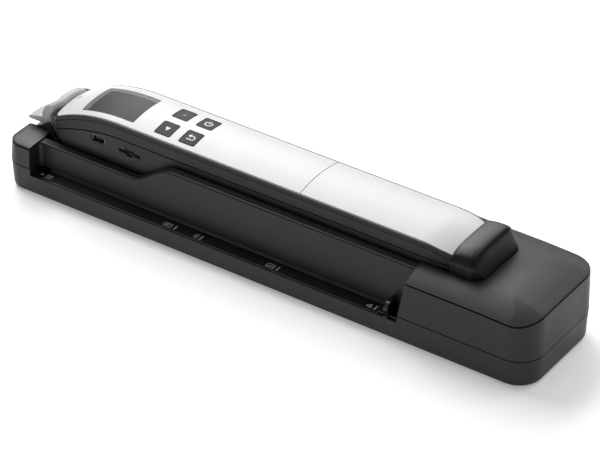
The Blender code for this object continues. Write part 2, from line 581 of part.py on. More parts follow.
def make_dock_inside(finishes):
    block("dock_board", (229.0, 14.0, 6.0), (256.0, 50.0, 7.4), finishes["board"])
    inlet = block("power_inlet", (240.0, 55.4, 4.0), (247.6, 64.4, 7.8), finishes["steel"])
    cut(inlet, block("cut_inlet", (240.6, 57, 4.6), (247.0, 66, 7.2), None))
    block("docking_contacts", (230.0, 28.0, TROUGH_Z + GAP), (238.0, 36.0, 23.2), finishes["black"])


def main():
    for obj in list(bpy.data.objects):
        bpy.data.objects.remove(obj)
    finishes = {
        "charcoal": material("charcoal_plastic", (0.045, 0.045, 0.05), 0.42),
        "gloss_black": material("gloss_black", (0.012, 0.012, 0.014), 0.12),
        "black": material("black_plastic", (0.02, 0.02, 0.022), 0.35),
        "white": material("white_cover", (0.9, 0.9, 0.9), 0.15),
        "grey": material("light_grey", (0.62, 0.63, 0.64), 0.4),
        "glass": material("display_glass", (0.05, 0.05, 0.06), 0.05),
        "steel": material("steel", (0.6, 0.6, 0.62), 0.35, 1.0),
        "bronze": material("bronze", (0.55, 0.36, 0.18), 0.4, 1.0),
        "rubber": material("rubber", (0.03, 0.03, 0.03), 0.8),
        "nylon": material("nylon", (0.85, 0.84, 0.8), 0.5),
        "board": material("circuit_board", (0.02, 0.16, 0.07), 0.5),
        "battery": material("battery_wrap", (0.1, 0.25, 0.5), 0.35),
        "keys": material("key_plastic", (0.05, 0.05, 0.055), 0.45),
    }
    make_lower_shell(finishes["charcoal"])
    make_upper_shell(finishes["charcoal"])
    block("size_strip", (BAY_LEFT + GAP, 1.1, 10.5), (BAY_RIGHT + 1.4, 7.4, LIP_Z), finishes["black"])
    make_fasteners(finishes["steel"], finishes["rubber"])
    make_hood(finishes["gloss_black"])
    make_lever(finishes["grey"], finishes["steel"])
    make_guide(finishes["black"])
    make_feed(finishes)
    make_paper_plate(finishes["black"])
    make_dock_inside(finishes)
    make_wand_body(finishes["charcoal"])
    make_wand_bands(finishes["charcoal"], finishes["gloss_black"])
    make_covers(finishes["white"], finishes["glass"], finishes["keys"])
    make_wand_inside(finishes)


main()
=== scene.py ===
"""The looks of the docking scanner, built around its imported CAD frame.

Lengths are in millimetres from the drawing datum: x from the paper's left stop, y from the
front, z from the underside of the lower shell. at() turns them into the frame's metres.
"""

import json
import math

import bmesh
import bpy
from mathutils import Matrix, Vector


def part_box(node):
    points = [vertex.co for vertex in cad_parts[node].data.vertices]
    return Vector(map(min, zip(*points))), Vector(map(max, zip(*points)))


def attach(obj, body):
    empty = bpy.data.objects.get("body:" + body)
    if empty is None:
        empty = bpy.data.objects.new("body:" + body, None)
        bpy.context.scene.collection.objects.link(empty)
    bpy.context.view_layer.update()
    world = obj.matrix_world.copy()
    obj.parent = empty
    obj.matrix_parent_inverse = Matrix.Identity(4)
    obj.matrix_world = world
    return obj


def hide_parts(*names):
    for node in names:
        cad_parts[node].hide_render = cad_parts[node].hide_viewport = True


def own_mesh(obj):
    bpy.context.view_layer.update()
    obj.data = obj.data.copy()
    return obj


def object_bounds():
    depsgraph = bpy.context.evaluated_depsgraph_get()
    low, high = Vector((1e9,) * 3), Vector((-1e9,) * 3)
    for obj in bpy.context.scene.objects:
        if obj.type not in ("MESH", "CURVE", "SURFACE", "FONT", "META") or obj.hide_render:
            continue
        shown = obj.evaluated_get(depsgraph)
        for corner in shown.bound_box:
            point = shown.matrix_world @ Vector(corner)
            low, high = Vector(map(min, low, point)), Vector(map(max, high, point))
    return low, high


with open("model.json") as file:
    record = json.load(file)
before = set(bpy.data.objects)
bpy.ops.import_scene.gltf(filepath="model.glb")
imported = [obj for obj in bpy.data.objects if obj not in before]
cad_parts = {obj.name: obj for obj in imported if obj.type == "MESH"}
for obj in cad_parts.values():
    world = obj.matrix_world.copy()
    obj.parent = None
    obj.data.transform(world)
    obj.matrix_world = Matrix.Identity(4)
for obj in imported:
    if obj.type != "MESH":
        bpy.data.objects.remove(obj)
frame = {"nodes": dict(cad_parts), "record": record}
CAD_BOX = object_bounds()

MM = 0.001
LEFT, FRONT = -17.0, -0.8
FOOT = 1.0
DATUM = CAD_BOX[0] + Vector((-LEFT, -FRONT, FOOT)) * MM


def extent(node, axis):
    """A CAD node's lowest and highest value along an axis, in drawing millimetres."""
    low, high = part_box(node)
    return (low[axis] - DATUM[axis]) / MM, (high[axis] - DATUM[axis]) / MM


def corners(node):
    """A CAD node's lowest and highest corner."""
    spans = [extent(node, axis) for axis in range(3)]
    return tuple(span[0] for span in spans), tuple(span[1] for span in spans)


def plan_centre(node):
    """The middle of a CAD node, seen from above."""
    low, high = corners(node)
    return (low[0] + high[0]) / 2, (low[1] + high[1]) / 2


RIGHT = extent("dock_lower_shell", 0)[1]
BACK = extent("dock_lower_shell", 1)[1]
SEAM_Z = extent("dock_lower_shell", 2)[1]
MIDDLE_Y = (FRONT + BACK) / 2
LIP_Z = extent("size_strip", 2)[1]
LEVER_Y = extent("lock_lever", 1)
PIN_Z = extent("lever_pin", 2)
PIVOT_X, PIVOT_Z = -4.0, (PIN_Z[0] + PIN_Z[1]) / 2
LEFT_CORNER, RIGHT_CORNER = 9.0, 14.0
LOW_TOP, HIGH_TOP = 28.0, 41.2
BAY_LEFT, BAY_RIGHT, BAY_LEAN, BAY_WALL = -0.7, 222.8, 0.1787, 8.6
TROUGH_FRONT, TROUGH_BACK, TROUGH_LEFT, TROUGH_RIGHT, TROUGH_Z = 13.6, 50.6, -1.3, 257.6, 21.3
WAND_Y, WAND_HALF, NOSE = 32.1, 18.0, 48.0
COVER_Z, CROWN, GROOVE_Z, RIM, EDGE_STEP = 51.8, 2.6, 43.6, 2.2, 0.35
SPRING_WIRE, SPRING_TURNS, SPRING_STEPS, SPRING_KEEP = 0.3, 4, 96, 0.62
PLACES = ["front_left", "back_left", "front_right", "back_right"]
FEET = ["foot_" + place for place in PLACES]
SCREWS = ["screw_" + place for place in PLACES]


# ------------------------------------------------------------------ materials

def node(tree, kind, **values):
    made = tree.nodes.new(kind)
    for key, value in values.items():
        if hasattr(made, key):
            setattr(made, key, value)
        else:
            made.inputs[key.replace("_", " ")].default_value = value
    return made


def ramp(tree, source, low, high, start, end):
    """Maps source from start..end onto low..high, both either numbers or colours."""
    if isinstance(low, tuple):
        mix = node(tree, "ShaderNodeMix", data_type="RGBA")
        spread = node(tree, "ShaderNodeMapRange")
        tree.links.new(source, spread.inputs["Value"])
        spread.inputs["From Min"].default_value, spread.inputs["From Max"].default_value = start, end
        tree.links.new(spread.outputs["Result"], mix.inputs[0])
        mix.inputs[6].default_value, mix.inputs[7].default_value = (*low, 1), (*high, 1)
        return mix.outputs[2]
    spread = node(tree, "ShaderNodeMapRange")
    tree.links.new(source, spread.inputs["Value"])
    for name, value in zip(("From Min", "From Max", "To Min", "To Max"), (start, end, low, high)):
        spread.inputs[name].default_value = value
    return spread.outputs["Result"]


def surface(name, dark, light, rough, grain, bump, coat=0.0, coat_rough=0.1, metallic=0.0,
            stretch=(1, 1, 1), ior=1.5):
    """Moulded or machined material: two tones over a fine grain, cloudy roughness and a small bump."""
    made = bpy.data.materials.new(name)
    made.use_nodes = True
    tree = made.node_tree
    shader = tree.nodes["Principled BSDF"]
    place = node(tree, "ShaderNodeTexCoord")
    scale = node(tree, "ShaderNodeMapping")
    scale.inputs["Scale"].default_value = stretch
    tree.links.new(place.outputs["Object"], scale.inputs["Vector"])
    fine = node(tree, "ShaderNodeTexNoise", Scale=grain, Detail=3.0, Roughness=0.6)
    cloud = node(tree, "ShaderNodeTexNoise", Scale=38.0, Detail=4.0, Roughness=0.55)
    for noise in (fine, cloud):
        tree.links.new(scale.outputs["Vector"], noise.inputs["Vector"])
    mixed = node(tree, "ShaderNodeMix", data_type="FLOAT")
    mixed.inputs[0].default_value = 0.45
    tree.links.new(fine.outputs["Fac"], mixed.inputs[2])
    tree.links.new(cloud.outputs["Fac"], mixed.inputs[3])
    tree.links.new(ramp(tree, mixed.outputs[0], dark, light, 0.3, 0.7), shader.inputs["Base Color"])
    tree.links.new(ramp(tree, cloud.outputs["Fac"], *rough, 0.3, 0.7), shader.inputs["Roughness"])
    bumped = node(tree, "ShaderNodeBump", Strength=0.35, Distance=bump)
    tree.links.new(fine.outputs["Fac"], bumped.inputs["Height"])
    tree.links.new(bumped.outputs["Normal"], shader.inputs["Normal"])
    shader.inputs["Metallic"].default_value = metallic
    shader.inputs["IOR"].default_value = ior
    if coat:
        shader.inputs["Coat Weight"].default_value = coat
        shader.inputs["Coat Roughness"].default_value = coat_rough
    return made


def grey_pair(dark, light, tint=0.0):
    """Two neutral tones, dark and light, with a little more blue by tint."""
    return (dark, dark, dark + tint), (light, light, light + tint)


def make_materials():
    """Each entry: dark tone, light tone, roughness range, grain size, bump height and finish."""
    warm_keys = ((0.010, 0.0095, 0.010), (0.016, 0.0155, 0.016))
    bronze = ((0.36, 0.22, 0.1), (0.52, 0.34, 0.17))
    rubber = ((0.012, 0.012, 0.0125), (0.024, 0.024, 0.025))
    nylon = ((0.68, 0.67, 0.62), (0.8, 0.79, 0.74))
    green = ((0.008, 0.09, 0.035), (0.015, 0.16, 0.06))
    blue = ((0.03, 0.08, 0.2), (0.05, 0.12, 0.28))
    window = ((0.02, 0.024, 0.026), (0.03, 0.034, 0.036))
    pane = ((0.022, 0.022, 0.023), (0.036, 0.035, 0.037))
    border = ((0.13, 0.125, 0.13), (0.19, 0.185, 0.19))
    satin = ((0.004, 0.004, 0.0042), (0.007, 0.007, 0.0073))
    charcoal = ((0.008, 0.008, 0.0084), (0.013, 0.013, 0.0135))
    light_grey = ((0.42, 0.42, 0.42), (0.50, 0.50, 0.495))
    made = {}

    def add(slot, name, tones, rough, grain, bump, **finish_values):
        made[slot] = surface(name, *tones, rough, grain, bump, **finish_values)

    add("charcoal", "charcoal_plastic", charcoal, (0.40, 0.50), 2600, 0.00004, ior=1.42)
    add("gloss_black", "satin_black", satin, (0.32, 0.40), 1800, 0.00001, ior=1.38)
    add("black", "strip_black", grey_pair(0.006, 0.010, 0.0005), (0.28, 0.38), 2200, 0.00001)
    add("white", "white_gloss", grey_pair(0.66, 0.71, 0.005), (0.40, 0.48), 900, 0.000002,
        coat=0.2, coat_rough=0.25)
    add("grey", "light_grey_plastic", light_grey, (0.36, 0.46), 2000, 0.00002)
    add("steel", "brushed_steel", grey_pair(0.45, 0.62, 0.01), (0.24, 0.4), 1500, 0.00001,
        metallic=1.0, stretch=(0.06, 1, 1))
    add("bronze", "sintered_bronze", bronze, (0.35, 0.5), 3000, 0.00002, metallic=1.0)
    add("rubber", "black_rubber", rubber, (0.65, 0.85), 3200, 0.00005)
    add("nylon", "white_nylon", nylon, (0.4, 0.5), 1500, 0.00001)
    add("board", "solder_mask", green, (0.25, 0.4), 260, 0.00003)
    add("battery", "cell_sleeve", blue, (0.22, 0.3), 900, 0.00001, coat=0.4)
    add("keys", "key_plastic", warm_keys, (0.50, 0.60), 2800, 0.00003, ior=1.36)
    add("print", "pale_print", grey_pair(0.50, 0.66), (0.4, 0.5), 3000, 0.000004)
    add("bright_print", "white_print", grey_pair(0.75, 0.9), (0.4, 0.5), 3000, 0.000004)
    add("dim_print", "grey_print", grey_pair(0.055, 0.10), (0.4, 0.5), 3000, 0.000004)
    add("glass", "scan_window", window, (0.03, 0.06), 200, 0.000001, coat=1.0)
    add("display", "display_pane", pane, (0.42, 0.50), 300, 0.000001, ior=1.32)
    add("bezel", "display_border", border, (0.4, 0.48), 300, 0.000001, ior=1.32)
    return made


MATERIALS = make_materials()


# ------------------------------------------------------------------ mesh tools

def at(x, y, z):
    return DATUM + Vector((x, y, z)) * MM


def build(name, points, faces, look):
    """A mesh object from drawing points, welded, with its faces turned outwards."""
    mesh = bpy.data.meshes.new(name)
    mesh.from_pydata([at(*point) for point in points], [], faces)
    work = bmesh.new()
    work.from_mesh(mesh)
    bmesh.ops.remove_doubles(work, verts=work.verts, dist=2e-6)
    bmesh.ops.dissolve_degenerate(work, edges=work.edges, dist=1e-6)
    bmesh.ops.recalc_face_normals(work, faces=work.faces)
    work.to_mesh(mesh)
    work.free()
    mesh.materials.append(MATERIALS[look])
    obj = bpy.data.objects.new(name, mesh)
    bpy.context.scene.collection.objects.link(obj)
    return obj


def loft(name, rings, look, closed=False):
    """A skin through rings of equal length; its ends are capped, or joined where closed."""
    count, total = len(rings[0]), len(rings)
    faces = []
    for ring in range(total if closed else total - 1):
        after = (ring + 1) % total
        for i in range(count):
            j = (i + 1) % count
            faces.append([ring * count + i, ring * count + j, after * count + j, after * count + i])
    if not closed:
        faces += [list(range(count)), [(total - 1) * count + i for i in range(count)]]
    return build(name, [point for ring in rings for point in ring], faces, look)


def prism(name, axis, outline, low, high, look="black"):
    ends = []
    for value in (low, high):
        ends.append([{"x": (value, a, b), "y": (a, value, b), "z": (a, b, value)}[axis] for a, b in outline])
    return loft(name, ends, look)


def block(name, low, high, look="black"):
    outline = [(low[0], low[1]), (high[0], low[1]), (high[0], high[1]), (low[0], high[1])]
    return prism(name, "z", outline, low[2], high[2], look)


def circle(centre, radius, count, start=0.0, turn=360.0):
    angles = [math.radians(start + turn * i / count) for i in range(count)]
    return [(centre[0] + radius * math.cos(a), centre[1] + radius * math.sin(a)) for a in angles]


def rounded(low, high, radius, steps=5):
    """A rectangle with round corners, as an outline."""
    points = []
    spots = [(high[0], high[1]), (low[0], high[1]), (low[0], low[1]), (high[0], low[1])]
    for quarter, (x, y) in enumerate(spots):
        cx = x - radius if x == high[0] else x + radius
        cy = y - radius if y == high[1] else y + radius
        for i in range(steps + 1):
            angle = (quarter + i / steps) * math.pi / 2
            points.append((cx + radius * math.cos(angle), cy + radius * math.sin(angle)))
    return points


def bake_modifiers(obj):
    graph = bpy.context.evaluated_depsgraph_get()
    mesh = bpy.data.meshes.new_from_object(obj.evaluated_get(graph))
    obj.modifiers.clear()
    obj.data = mesh


def carve(obj, *tools, add=False):
    """Cuts the tools from obj, or joins them to it, and removes them."""
    for tool in tools:
        modifier = obj.modifiers.new(tool.name, "BOOLEAN")
        modifier.operation = "UNION" if add else "DIFFERENCE"
        modifier.solver = "EXACT"
        modifier.object = tool
        bake_modifiers(obj)
        if not obj.data.polygons:
            raise RuntimeError(f"nothing is left of {obj.name} after {tool.name}")
        bpy.data.objects.remove(tool)
    return obj


def soften(obj, width, segments=2, angle=35.0, where=None):
    """Rounds the sharp edges whose middle, in drawing millimetres, satisfies where."""
    work = bmesh.new()
    work.from_mesh(obj.data)
    bmesh.ops.dissolve_limit(work, angle_limit=math.radians(0.4), verts=work.verts, edges=work.edges)
    chosen = []
    for edge in work.edges:
        if len(edge.link_faces) != 2 or edge.calc_face_angle(0.0) < math.radians(angle):
            continue
        spot = ((edge.verts[0].co + edge.verts[1].co) / 2 - DATUM) / MM
        if where is None or where(spot):
            chosen.append(edge)
    bmesh.ops.bevel(work, geom=chosen, offset=width * MM, offset_type="OFFSET", segments=segments,
                    profile=0.5, affect="EDGES", clamp_overlap=True)
    work.to_mesh(obj.data)
    work.free()
    return obj


def shade(obj, angle=32.0):
    obj.data.shade_smooth()
    obj.data.set_sharp_from_angle(angle=math.radians(angle))
    weighted = obj.modifiers.new("even_normals", "WEIGHTED_NORMAL")
    weighted.keep_sharp = True
    return obj


def finish(obj, body, slot, *nodes, angle=32.0):
    shade(obj, angle)
    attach(obj, body)
    if nodes:
        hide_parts(*nodes)
    return obj


def smoothstep(value, low, high):
    t = min(max((value - low) / (high - low), 0.0), 1.0)
    return t * t * (3 - 2 * t)


def spaced(low, high, count):
    return [low + (high - low) * i / (count - 1) for i in range(count)]


# ------------------------------------------------------------------ dock shells

def plan_points(steps=10):
    """The dock's rounded plan outline: each point with its outward direction, from the right end's back."""
    found = []
    ends = [(RIGHT, BACK), (LEFT, BACK), (LEFT, FRONT), (RIGHT, FRONT)]
    for quarter, (x, y) in enumerate(ends):
        radius = RIGHT_CORNER if x == RIGHT else LEFT_CORNER
        cx = x - radius if x == RIGHT else x + radius
        cy = y - radius if y == BACK else y + radius
        for i in range(steps + 1):
            angle = (quarter + i / steps) * math.pi / 2
            out = (math.cos(angle), math.sin(angle))
            found.append(((cx + radius * out[0], cy + radius * out[1]), out))
    return found


def long_plan():
    """The plan outline with extra points along its long sides, where the top rises."""
    round_ends = plan_points()
    stops = [270, 250, 235, 200, 150, 110, 98] + spaced(92, 50, 22) + [40, 26, 12, 0]
    back = [((x, BACK), (0.0, 1.0)) for x in stops]
    front = [((x, FRONT), (0.0, -1.0)) for x in reversed(stops)]
    return round_ends[:11] + back + round_ends[11:33] + front + round_ends[33:]


def inward(point, out, inset):
    return point[0] - out[0] * inset, point[1] - out[1] * inset


def plan(inset):
    return [inward(point, out, inset) for point, out in plan_points()]


def rise(x):
    return smoothstep(x, 58.0, 84.0)


def fall(distance, drop, reach):
    return drop * (1 - min(max(distance, 0.0) / reach, 1.0)) ** 2


def top_height(x, y):
    """The dock's top: a long slope in front of the high part, gentler ones at its back and right end."""
    up = rise(x)
    front = fall(y - FRONT, 1.0 + 4.3 * up, 5.0 + 11.5 * up)
    back = fall(BACK - y, 1.0 + 1.1 * up, 5.0 + 7.0 * up)
    ends = fall(RIGHT - x, 2.5, 26.0) + fall(x - LEFT, 1.0, 5.0)
    return LOW_TOP + (HIGH_TOP - LOW_TOP) * up - front - back - ends


GROOVE = [(0.4, 1.3), (0.5, 1.15), (1.1, 1.1), (1.1, 0.6), (0.6, 0.55), (0.5, 0.4), (0.62, 0.12), (0.9, 0.0)]


def upper_rings():
    """Rings from the seam up the wall, over the parting groove, and across the top to the middle line."""
    outline = long_plan()
    spine = [(min(max(point[0], LEFT + 24), RIGHT - 33), MIDDLE_Y) for point, _ in outline]
    rings = []
    for inset, z in [(2.0, SEAM_Z + 0.25), (0.5, SEAM_Z + 0.25), (0.1, SEAM_Z + 0.55)]:
        rings.append([(*inward(point, out, inset), z) for point, out in outline])
    for inset, below in GROOVE:
        ring = []
        for point, out in outline:
            x, y = inward(point, out, inset + 0.45 * (1 - rise(point[0])))
            ring.append((x, y, top_height(*inward(point, out, 0.9)) - below))
        rings.append(ring)
    for inset in (1.5, 2.2, 3.0, 4.0, 5.2, 6.5):
        flat = [inward(point, out, inset) for point, out in outline]
        rings.append([(x, y, top_height(x, y)) for x, y in flat])
    last = rings[-1]
    for share in (0.06, 0.12, 0.19, 0.26, 0.34, 0.42, 0.55, 0.75, 1.0):
        ring = []
        for (x, y, _), (sx, sy) in zip(last, spine):
            px, py = x + (sx - x) * share, y + (sy - y) * share
            ring.append((px, py, top_height(px, py)))
        rings.append(ring)
    return rings


def cap_rings(name, rings, look):
    """A skin through plan rings: the first is closed by one face, the last runs together on a line."""
    count = len(rings[0])
    faces = [list(range(count))]
    for ring in range(len(rings) - 1):
        for i in range(count):
            j = (i + 1) % count
            faces.append([ring * count + i, ring * count + j, (ring + 1) * count + j, (ring + 1) * count + i])
    return build(name, [point for ring in rings for point in ring], faces, look)


def bay_outline(low, high=60):
    """The front bay seen from the front: a square left end and a leaning right end."""
    right_low, right_high = BAY_RIGHT + low * BAY_LEAN, BAY_RIGHT + high * BAY_LEAN
    return [(BAY_LEFT, low), (right_low, low), (right_high, high), (BAY_LEFT, high)]


def make_upper_shell():
    shell = cap_rings("upper_shell", upper_rings(), "charcoal")
    carve(shell, prism("bay", "y", bay_outline(0), -5, TROUGH_FRONT + 0.05))
    trough = rounded((TROUGH_LEFT, TROUGH_FRONT), (TROUGH_RIGHT, TROUGH_BACK), 1.5)
    carve(shell, prism("trough", "z", trough, TROUGH_Z, 70))
    carve(shell, block("window", (4, TROUGH_FRONT, 10), (226, TROUGH_BACK, 30)))
    carve(shell, prism("under", "z", rounded((-14.5, 10.6), (297.5, 62.6), 7.0), 5, 19.3))
    pocket = rounded((-22, LEVER_Y[0] - 0.6), (TROUGH_LEFT + 0.6, LEVER_Y[1] + 0.6), 0.8)
    carve(shell, prism("pocket", "z", pocket, PIVOT_Z - 2.8, 60))
    carve(shell, prism("bore", "y", circle((PIVOT_X, PIVOT_Z), 1.4, 24), 17.0, 47.2))

    def cut_edge(spot):
        on_bay = abs(spot.x - BAY_LEFT) < 0.05 or abs(spot.x - BAY_RIGHT - spot.z * BAY_LEAN) < 0.05
        on_trough = spot.z > TROUGH_Z + 4 and -2 < spot.x < 259 and 13 < spot.y < 51
        on_pocket = spot.x < 0 and spot.z > 26 and 19 < spot.y < 45
        return (on_bay and spot.y < 13.4) or on_trough or on_pocket

    soften(shell, 0.35, 3, 40, cut_edge)
    finish(shell, "dock", "charcoal", "dock_upper_shell")
    make_front_rail()


def ridge(x):
    """The height of the bead along the top of the bay's back wall."""
    return 27.2 + 12.5 * smoothstep(x, 57.5, 83.5)


def make_front_rail():
    """The bay's back wall, with the bead along its top edge that follows the step in height.

    It ends at the left in a hollow round against the cap, and at the right on the bay's slanted end.
    """
    foot_z, lower_z = 13.0, 19.3
    bead, blend = 1.25, 2.4
    stations = [(BAY_LEFT + 0.02, 1.0)]
    for degrees in (15, 30, 45, 60, 75, 90):
        angle = math.radians(degrees)
        stations.append((BAY_LEFT + blend * (1 - math.cos(angle)), 1 - math.sin(angle)))
    stations += [(x, 0.0) for x in [4] + spaced(8, 54, 8) + spaced(56, 86, 31) + spaced(90, 222, 14)]
    rings = []
    for x, share in stations + [(None, 0.0)]:
        probe = 226.5 if x is None else x
        high = ridge(probe)
        wall = BAY_WALL - blend * share
        profile = [(wall + 2.0, lower_z), (wall + 2.0, foot_z + 0.2), (wall + 1.8, foot_z)]
        profile += [(wall + 0.2, foot_z), (wall, foot_z + 0.2), (wall, high - 3.0), (wall, high - bead)]
        for i in range(1, 10):
            angle = math.radians(180 - 10 * i)
            profile.append((wall + bead * (1 + math.cos(angle)), high - bead + bead * math.sin(angle)))
        back = high + 0.25 * rise(probe)
        profile += [(wall + 1.7, high - 0.06), (wall + 2.3, high - 0.1), (TROUGH_FRONT - 0.5, back)]
        profile += [(TROUGH_FRONT - 0.12, back - 0.12), (TROUGH_FRONT, back - 0.5), (TROUGH_FRONT, lower_z)]
        rings.append([(BAY_RIGHT + z * BAY_LEAN + 0.03 if x is None else x, y, z) for y, z in profile])
    finish(loft("front_wall", rings, "charcoal"), "dock", "charcoal")


def make_lower_shell():
    outer = [(2.6, 0.0), (2.0, 0.12), (1.45, 0.5), (1.1, 1.1), (0.9, 2.0), (0.25, SEAM_Z - 0.5)]
    outer += [(0.3, SEAM_Z - 0.2), (0.55, SEAM_Z), (2.0, SEAM_Z), (2.4, 2.0)]
    rings = [[(*spot, z) for spot in plan(inset)] for inset, z in outer]
    shell = loft("lower_shell", rings, "charcoal")
    carve(shell, block("shelf", (-2.7, 0.6, 8.8), (227, 7.6, 10.2)), add=True)
    carve(shell, block("stop_left", (-2.7, 0.6, 8.8), (BAY_LEFT, 10.3, SEAM_Z - 0.3)), add=True)
    carve(shell, block("stop_right", (225.1, 0.6, 8.8), (227, 10.3, SEAM_Z - 0.3)), add=True)
    carve(shell, prism("bay", "y", bay_outline(LIP_Z), -5, 12.0))
    carve(shell, block("seat", (BAY_LEFT, 0.8, 10.2), (BAY_RIGHT + 1.9, 12.0, 20)))
    exit_slot = prism("exit", "y", rounded((BAY_LEFT, 11.6), (225, 22), 0.6), 61, 70)
    inlet = prism("inlet", "y", rounded((239.7, 3.7), (247.9, 8.1), 0.8), 60, 70)
    carve(shell, exit_slot, inlet)
    for name in SCREWS:
        centre = plan_centre(name)
        carve(shell, prism("head", "z", circle(centre, 3.0, 32), -1, 0.9))
        carve(shell, prism("hole", "z", circle(centre, 1.6, 24), 0, 4))
    for name in FEET:
        carve(shell, prism("recess", "z", circle(plan_centre(name), 5.0, 48), -1, 0.6))

    def lip(spot):
        on_lip = abs(spot.z - LIP_Z) < 0.06 and spot.y < 0.75 and spot.x > BAY_LEFT
        on_end = SEAM_Z - 0.6 > spot.z > LIP_Z and spot.y < 3
        return on_lip or (on_end and (spot.x < 0 or spot.x > 220))

    soften(shell, 0.4, 3, 40, lip)
    finish(shell, "dock", "charcoal", "dock_lower_shell")


def turned(name, axis, centre, profile, look, count=48):
    """A turned piece: profile is (distance along the axis, radius), from end to end."""
    rings = []
    for along, radius in profile:
        spots = circle(centre, radius, count)
        rings.append([{"x": (along, a, b), "y": (a, along, b), "z": (a, b, along)}[axis] for a, b in spots])
    return loft(name, rings, look)


def make_feet():
    for name in FEET:
        base, top = extent(name, 2)
        profile = [(base, 3.9), (base + 0.05, 4.2), (base + 0.2, 4.5), (base + 0.5, 4.65), (top, 4.7)]
        profile = [(base, 1.6), (base + 0.15, 1.7), (base + 0.15, 2.0), (base, 2.1)] + profile
        finish(turned(name + "_pad", "z", plan_centre(name), profile, "rubber"), "dock", "rubber", name)


def stroke(points, width):
    """The outlines of a line of this width through the points, one for each straight piece."""
    pieces = []
    for (ax, ay), (bx, by) in zip(points, points[1:]):
        length = math.hypot(bx - ax, by - ay)
        nx, ny = -(by - ay) / length * width / 2, (bx - ax) / length * width / 2
        ex, ey = (bx - ax) / length * width / 2, (by - ay) / length * width / 2
        pieces.append([(ax + nx - ex, ay + ny - ey), (bx + nx + ex, by + ny + ey),
                       (bx - nx + ex, by - ny + ey), (ax - nx - ex, ay - ny - ey)])
    return pieces


def printed(name, outlines, height, look, body, slot, thick=0.05):
    """Flat printed shapes: each outline is extruded a hair above height(x, y)."""
    points, faces = [], []
    for outline in outlines:
        start, count = len(points), len(outline)
        for lift in (-0.06, thick):
            points += [(x, y, height(x, y) + lift) for x, y in outline]
        faces.append([start + i for i in range(count)])
        faces.append([start + count + i for i in range(count)])
        for i in range(count):
            j = (i + 1) % count
            faces.append([start + i, start + j, start + count + j, start + count + i])
    return finish(build(name, points, faces, look), body, slot)


def lines(paths, width):
    outlines = []
    for path in paths:
        outlines += stroke(path, width)
    return outlines


def make_strip():
    low, high = corners("size_strip")
    rings = []
    for inset, z in [(0.0, low[2]), (0.0, high[2] - 0.25), (0.08, high[2] - 0.08), (0.25, high[2])]:
        outline = rounded((low[0] + inset, low[1] + inset), (high[0] - inset, high[1] - inset), 0.5, 3)
        rings.append([(x, y, z) for x, y in outline])
    finish(loft("strip", rings, "black"), "dock", "black", "size_strip")
    marks = []
    y0, y1 = 2.4, 6.0
    for x in (89.0, 105.0, 152.0, 210.0):
        marks.append([(x - 0.28, y0), (x + 0.28, y0), (x + 0.28, y1), (x - 0.28, y1)])
    page = [(6.6, 2.9), (6.6, 5.7), (9.6, 5.7), (9.6, 2.9), (6.6, 2.9)]
    card = [(82.0, 2.9), (82.0, 5.5), (86.6, 5.5), (86.6, 2.9), (82.0, 2.9)]
    photo = [(145.2, 2.9), (145.2, 5.7), (149.6, 5.7), (149.6, 2.9), (145.2, 2.9)]
    six = [(103.0, 5.5), (101.6, 5.5), (101.0, 4.6), (101.0, 3.2), (101.6, 2.8), (102.8, 2.8)]
    six += [(103.2, 3.4), (102.8, 4.2), (101.1, 4.2)]
    four = [(207.2, 2.7), (207.2, 5.6), (205.0, 3.5), (208.0, 3.5)]
    hill = [(145.8, 3.5), (146.9, 4.7), (147.8, 3.9), (148.5, 4.5), (149.2, 3.5)]
    inner = [[(7.4, 4.9), (8.8, 4.9)], [(7.4, 4.2), (8.8, 4.2)]]
    inner += [[(83.0, 4.6), (85.6, 4.6)], [(83.0, 3.8), (84.6, 3.8)]]
    marks += lines([page, card, photo, hill] + inner, 0.26) + lines([six, four], 0.42)
    printed("size_marks", marks, lambda x, y: high[2], "print", "dock", "black")
    printed("start_dot", [circle((3.6, 4.3), 0.7, 16)], lambda x, y: high[2], "bright_print", "dock", "black")


# ------------------------------------------------------------------ wand

def cover_edge(x):
    if x < NOSE:
        return COVER_Z - 13.6 * (1 - max(x, 0) / NOSE) ** 2.19
    return COVER_Z - 2.8 * max((x - 228) / 18, 0.0) ** 2


def groove(x):
    return GROOVE_Z - 11.5 * max(1 - x / 46, 0.0) ** 1.79 - 1.4 * max((x - 236) / 20, 0.0) ** 2


def wand_bottom(x):
    return 23.6 + 8.2 * (1 - smoothstep(x, 2, 12))


def wand_half(x):
    return WAND_HALF - 6.0 * max(1 - x / 8, 0.0) ** 2 - 1.2 * smoothstep(x, 238, 246)


def wand_stations(first, last):
    nose = [0.8, 1.4, 2.2, 3.2, 4.4, 5.6, 7.0, 8.5]
    along = nose + spaced(10, 50, 27) + spaced(54, 210, 40) + spaced(216, 254, 20)
    return [first] + [x for x in along if first < x < last] + [last]


def body_ring(x, shrink=0.0):
    half, low, high = wand_half(x) - shrink, wand_bottom(x), groove(x) - 0.16
    corner = min(4.0, 0.45 * (high - low))
    edge = min(0.4, 0.35 * (high - low))
    side = [(-half + edge, high), (-half + 0.3 * edge, high - 0.3 * edge), (-half, high - edge)]
    for i in range(7):
        a = math.radians(180 + 90 * i / 6)
        side.append((-half + corner + corner * math.cos(a), low + corner + corner * math.sin(a)))
    return [(x, WAND_Y + y, z) for y, z in side + [(-y, z) for y, z in reversed(side)]]


def band_ring(x, low, high, bottom_inset, top_inset, radius):
    """A ring of the frame or rim: a band with small round edges above and below."""
    half = wand_half(x)
    r = min(radius, 0.3 * (high - low))
    foot, head = -half + bottom_inset, -half + top_inset
    side = [(foot + r, low), (foot + 0.3 * r, low + 0.3 * r), (foot, low + r)]
    side += [(head, high - r), (head + 0.3 * r, high - 0.3 * r), (head + r, high)]
    return [(x, WAND_Y + y, z) for y, z in side + [(-y, z) for y, z in reversed(side)]]


